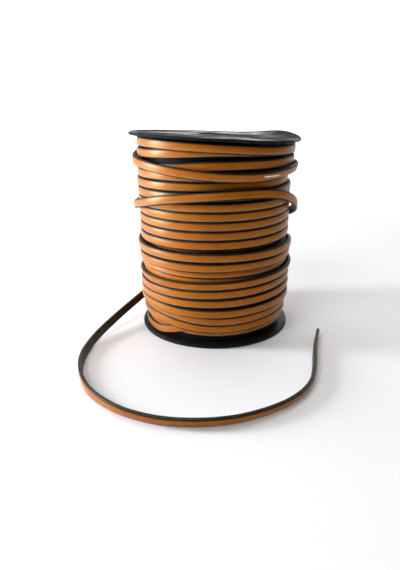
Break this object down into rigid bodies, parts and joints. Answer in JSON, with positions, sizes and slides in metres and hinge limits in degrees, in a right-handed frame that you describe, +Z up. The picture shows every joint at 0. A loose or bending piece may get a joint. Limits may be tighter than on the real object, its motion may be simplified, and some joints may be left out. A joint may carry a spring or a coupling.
{
  "type": "spool of flat lace",
  "caption": "Black plastic spool wound with flat tan lace with black edges, its last lap laid loosely and its loose end curving over the surface in front.",
  "frame": {"origin": "on the surface the spool stands on, under the middle of the spool", "axes": "+Z up along the spool's axis, -Y towards the front, where the loose end lies, +X to the right as seen from the front"},
  "size_m": [0.1367, 0.1729, 0.1176],
  "materials": {
    "flange_plastic": "black, glossy, slightly scuffed",
    "barrel_plastic": "black, plain",
    "tan_lace": "smooth tan face with a soft shine, black edges and black back"
  },
  "bodies": {
    "root": {"spool_base_flange": "flange_plastic", "spool_top_flange": "flange_plastic", "spool_barrel": "barrel_plastic", "wound_lace": "tan_lace", "loose_end": "tan_lace"}
  },
  "joints": []
}
